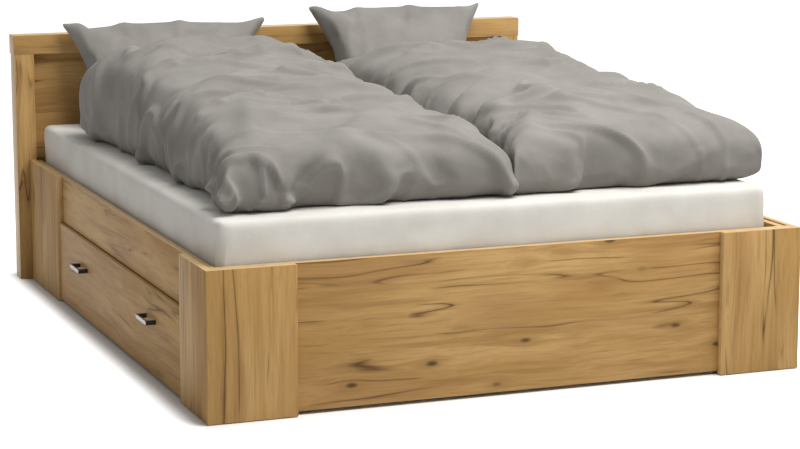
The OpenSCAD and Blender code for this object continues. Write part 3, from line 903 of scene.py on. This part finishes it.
def stuffed_blank(name, columns, rows):
    """One flat layer of cloth, a grid of columns by rows, ready to be shaped. Returns the piece."""
    bpy.ops.object.select_all(action="DESELECT")
    bpy.ops.mesh.primitive_grid_add(x_subdivisions=columns - 1, y_subdivisions=rows - 1, size=2)
    piece = bpy.context.object
    piece.name = name
    return piece


def stuffed(name, width, length, top, bottom, top_round, bottom_round, cell):
    """A closed stuffed form, centred on the origin, with its seam at height 0. top and
    bottom are the heights over the seam and below it, as functions of the place."""
    columns, rows = round(width / cell), round(length / cell)
    piece = stuffed_blank(name, columns, rows)
    bpy.ops.object.mode_set(mode="EDIT")
    bpy.ops.mesh.select_all(action="SELECT")
    bpy.ops.mesh.duplicate()
    bpy.ops.transform.translate(value=(0, 0, -1))
    bpy.ops.mesh.flip_normals()
    bpy.ops.object.mode_set(mode="OBJECT")
    points = points_of(piece)
    grid = (points[:, :2] + 1) / 2
    column = np.rint(grid[:, 0] * (columns - 1)).astype(int)
    row = np.rint(grid[:, 1] * (rows - 1)).astype(int)
    upper = points[:, 2] > -0.5
    middle_height = top(0.0, 0.0)
    points[:, 0] = even_arc(width / 2, middle_height, columns, top_round)[column]
    points[:, 1] = even_arc(length / 2, middle_height, rows, top_round)[row]
    for layer, roundness, height, sign in (
        (upper, top_round, top, 1),
        (~upper, bottom_round, bottom, -1),
    ):
        share = np.abs(points[layer, :2]) / (width / 2, length / 2)
        lift = (np.clip(1 - share**roundness, 0, 1) ** (1 / roundness)).min(axis=1)
        points[layer, 2] = sign * lift * [height(*place) for place in points[layer, :2]]
    move_points(piece, points)
    bpy.ops.object.mode_set(mode="EDIT")
    bpy.ops.mesh.select_all(action="SELECT")
    bpy.ops.mesh.remove_doubles(threshold=0.0004)
    bpy.ops.object.mode_set(mode="OBJECT")
    for face in piece.data.polygons:
        face.use_smooth = True
    return piece


def puff(piece, pressure, growth, cap, floor_z=None, frames=20):
    """Simulates the cover as cloth that is a little too large for its filling, so that it
    wrinkles, and keeps each point within cap of where it was."""
    before = points_of(piece)
    cloth = piece.modifiers.new("cover", "CLOTH")
    cloth.settings.quality = 6
    cloth.settings.mass = 0.25
    cloth.settings.tension_stiffness = 12
    cloth.settings.compression_stiffness = 12
    cloth.settings.shear_stiffness = 4
    cloth.settings.bending_stiffness = 0.15
    cloth.settings.use_pressure = True
    cloth.settings.uniform_pressure_force = pressure
    cloth.settings.shrink_min = -growth
    cloth.settings.effector_weights.gravity = 0
    cloth.collision_settings.use_collision = False
    cloth.point_cache.frame_end = frames
    for frame_number in range(1, frames + 1):
        bpy.context.scene.frame_set(frame_number)
    evaluated = piece.evaluated_get(bpy.context.evaluated_depsgraph_get())
    flat = np.empty(len(before) * 3, np.float32)
    evaluated.data.vertices.foreach_get("co", flat)
    piece.modifiers.remove(cloth)
    bpy.context.scene.frame_set(1)
    moved = flat.reshape(-1, 3) - before
    distance = np.linalg.norm(moved, axis=1, keepdims=True)
    share = cap * np.tanh(distance / cap) / np.maximum(distance, 1e-9)
    after = before + moved * share
    if floor_z is not None:
        after[:, 2] = np.maximum(after[:, 2], floor_z)
    move_points(piece, after)


def add_folds(piece, folds):
    """Raises soft ridges on the cloth. Each fold is its two ends, its width and its height."""
    points = points_of(piece)
    normals = np.array([v.normal for v in piece.data.vertices])
    for start, end, width, height in folds:
        a, b = np.array(start, float), np.array(end, float)
        run = b - a
        share = np.clip(((points[:, :2] - a) @ run) / (run @ run), 0, 1)
        off = np.linalg.norm(points[:, :2] - (a + share[:, None] * run), axis=1)
        fade = np.sin(np.pi * np.clip(share, 0.02, 0.98)) ** 0.6
        up = np.clip(normals[:, 2] * 1.5 + 0.5, 0, 1)
        points += normals * (height * fade * up * np.exp(-((off / width) ** 2)))[:, None]
    move_points(piece, points)


def wrinkle(piece, spacing, stretch, turn, depth, seed, crest=0.10):
    """Adds gathered folds that run across the cloth: long round ridges that wander and fade.
    spacing is from fold to fold, each is stretch times as long, and crest is its width."""
    points = points_of(piece)
    normals = np.array([v.normal for v in piece.data.vertices])
    cosine, sine = math.cos(turn), math.sin(turn)
    for row, point in enumerate(points.copy()):
        bend = noise.noise_vector(Vector(point) * 1.6 + Vector((seed, 0, 0))) * 0.07
        x, y, z = Vector(point) + bend
        along, across = x * cosine + y * sine, y * cosine - x * sine
        across += 0.8 * x * min(1, max(0, (-0.38 - y) / 0.45))
        place = Vector((along / (spacing * stretch), across / spacing, z / spacing * 0.4 + seed))
        ridge = math.exp(-((noise.noise(place) / crest) ** 2))
        fade = 0.5 + 1.8 * noise.noise(Vector((x * 3.1, y * 3.1, seed + 5)))
        points[row] += normals[row] * depth * ridge * min(1, max(0.0, fade))
    move_points(piece, points)


def subdivided(piece):
    """One step of subdivision, applied."""
    bpy.context.view_layer.objects.active = piece
    smooth = piece.modifiers.new("smooth", "SUBSURF")
    smooth.levels = smooth.render_levels = 1
    bpy.ops.object.modifier_apply(modifier="smooth")


def smoothed(piece, repeats):
    """Evens out the cloth between neighbouring vertices."""
    bpy.context.view_layer.objects.active = piece
    even = piece.modifiers.new("even", "SMOOTH")
    even.factor = 0.5
    even.iterations = repeats
    bpy.ops.object.modifier_apply(modifier="even")


COTTON = woven_cloth("grey_renforce_cotton", COTTON_GREY, COTTON_SHADE, 0.0018, 0.006, 0.08)
DUVETS = (
    # name, heap across the duvet's head, folds
    (
        "duvet_left",
        ((-0.30, 0.96), (-0.12, 1.0), (0.05, 1.0), (0.15, 0.95), (0.25, 0.80), (0.37, 0.68)),
        (
            ((-0.30, -0.74), (-0.18, -0.30), 0.030, 0.020),
            ((-0.10, -0.76), (0.12, -0.45), 0.028, 0.016),
            ((0.02, -0.62), (0.30, -0.30), 0.032, 0.018),
            ((0.20, -0.76), (0.33, -0.50), 0.022, 0.020),
            ((-0.34, -0.20), (-0.05, 0.05), 0.035, 0.018),
            ((-0.20, 0.10), (0.22, -0.10), 0.030, 0.014),
            ((-0.35, 0.25), (-0.02, 0.50), 0.040, 0.018),
            ((0.05, 0.20), (0.33, 0.10), 0.030, 0.016),
        ),
    ),
    (
        "duvet_right",
        ((-0.39, 0.82), (-0.21, 1.0), (-0.09, 1.0), (0.17, 0.97), (0.33, 0.80), (0.39, 0.75)),
        (
            ((-0.33, -0.74), (-0.22, -0.52), 0.024, 0.018),
            ((-0.20, -0.60), (0.10, -0.40), 0.040, 0.012),
            ((0.05, -0.70), (0.30, -0.50), 0.030, 0.010),
            ((-0.30, -0.10), (0.10, 0.05), 0.040, 0.014),
            ((-0.15, 0.30), (0.25, 0.10), 0.035, 0.012),
            ((0.10, 0.45), (0.34, 0.30), 0.030, 0.012),
        ),
    ),
)
SEAM_HEIGHT = 0.055

for name, heap, folds in DUVETS:
    low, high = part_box(name)
    size, middle = high - low, (low + high) / 2
    seam_z = low.z + SEAM_HEIGHT
    foot_top = 0.69 - seam_z
    head_top = high.z - seam_z - 0.004
    heap_x, heap_share = zip(*heap)

    def top_height(x, y, half_length=size.y / 2):
        """Height of the duvet over its seam: low at the foot, heaped up at the head."""
        way = np.clip((y + half_length) / (2 * half_length), 0, 1)
        rise = np.interp(way, (0, 0.12, 0.85, 1), (0, 0.06, 1, 0.92))
        across = np.interp(x, heap_x, heap_share)
        return foot_top + (head_top * across - foot_top) * rise

    duvet = stuffed(
        name + "_cover",
        size.x - 0.016,
        size.y - 0.016,
        top_height,
        lambda x, y: SEAM_HEIGHT - FLOOR_LIFT_GAP,
        4.5,
        5.0,
        DUVET_CELL,
    )
    add_folds(duvet, folds)
    points = points_of(duvet)
    for row, point in enumerate(points):
        swell = noise.fractal((point[0] * 3.1, point[1] * 2.3, 4.7 * len(folds)), 1.0, 2.0, 2)
        points[row, 2] += 0.012 * swell * max(0, point[2]) / 0.15
    move_points(duvet, points)
    wrinkle(duvet, 0.20, 2.6, 0.35, 0.018, 2.0 * len(folds), crest=0.16)
    puff(duvet, 1.4, 0.10, 0.03, floor_z=-SEAM_HEIGHT + FLOOR_LIFT_GAP)
    subdivided(duvet)
    wrinkle(duvet, 0.15, 4.2, 0.25, 0.026, 5.0 * len(folds), crest=0.075)
    wrinkle(duvet, 0.10, 4.5, -0.30, 0.018, 3.0 * len(folds), crest=0.06)
    smoothed(duvet, 2)
    points = points_of(duvet)
    toward_foot = np.clip((-0.2 - points[:, 1]) / 0.4, 0, 1)
    inner_side = np.clip(0.5 - points[:, 0] * math.copysign(1, middle.x) / size.x, 0, 1)
    points[:, 0] += FOOT_SHIFT * toward_foot * inner_side
    points += np.array((middle.x, middle.y, seam_z))
    points[:, 2] = np.clip(points[:, 2], low.z + FLOOR_LIFT_GAP, None)
    move_points(duvet, points)
    duvet.data.materials.append(COTTON)
    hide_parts(name)
    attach(duvet, "frame")


# ---------------------------------------------------------------- pillows
# Two down pillows in the same cotton, propped against the headboard's rail. Their corners
# stay pointed and the edges between them pull in, with a corded seam all round.
PILLOW_CELL = 0.0125
PILLOW_THICK = 0.16
CORD_REACH = 0.004
PILLOW_TAPER = 0.17

def pillow_height(x, y):
    """Half the pillow's thickness: full at its foot and flat along its top edge."""
    return PILLOW_THICK / 2 * float(np.interp(y, (-0.05, 0.18), (1, 0.5)))


# name, and how much its visible form is wider, further to the right and higher than the solid
PILLOWS = (("pillow_left", 0.024, 0.018, -0.020), ("pillow_right", -0.044, 0.034, 0.009))
for name, wider, moved, raised in PILLOWS:
    low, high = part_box(name)
    size, middle = high - low, (low + high) / 2
    width = size.x + wider
    lean = math.atan2(size.z - PILLOW_THICK * 0.6, size.y - PILLOW_THICK * 0.6)
    length = math.hypot(size.z, size.y) - PILLOW_THICK * 0.55
    pillow = stuffed(
        name + "_cover", width, length, pillow_height, pillow_height, 2.0, 2.0, PILLOW_CELL
    )
    points = points_of(pillow)
    seam = pillow.vertex_groups.new(name="seam")
    seam.add([int(row) for row in np.flatnonzero(np.abs(points[:, 2]) < 1e-6)], 1, "REPLACE")
    wrinkle(pillow, 0.20, 2.2, 0.9, 0.006, 11.0, crest=0.16)
    puff(pillow, 2.5, 0.05, 0.022)
    subdivided(pillow)
    wrinkle(pillow, 0.13, 3.0, 1.1, 0.003, 17.0)
    cord = [v.index for v in pillow.data.vertices if any(g.weight > 0.9 for g in v.groups)]
    points = points_of(pillow)
    points[:, 0] -= (points[:, 0].max() + points[:, 0].min()) / 2
    points[:, 0] *= width / np.ptp(points[:, 0])
    points[:, 1] *= length / np.ptp(points[:, 1])
    across, along = points[:, 0] / (width / 2), points[:, 1] / (length / 2)
    points[:, 0] -= np.sign(across) * 0.045 * np.abs(across) ** 3 * np.clip(1 - along**2, 0, 1)
    points[:, 0] *= 1 - PILLOW_TAPER * np.clip((1 - along) / 2, 0, 1)
    points[:, 0] += 0.030 * np.clip(along, 0, 1) * np.clip(across, 0, 1)
    points[:, 1] += np.sign(along) * 0.042 * np.abs(along) ** 3 * np.clip(1 - across**2, 0, 1)
    outward = points[cord] * (1, 1, 0)
    points[cord] += outward / np.linalg.norm(outward, axis=1, keepdims=True) * CORD_REACH
    back = points[:, 1] * math.cos(lean) - points[:, 2] * math.sin(lean)
    up = points[:, 1] * math.sin(lean) + points[:, 2] * math.cos(lean)
    points[:, 0] += middle.x + moved
    points[:, 1] = np.minimum(back + middle.y - 0.004, high.y)
    points[:, 2] = np.maximum(up + high.z + raised - up.max(), low.z + FLOOR_LIFT_GAP)
    move_points(pillow, points)
    pillow.data.materials.append(COTTON)
    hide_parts(name)
    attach(pillow, "frame")
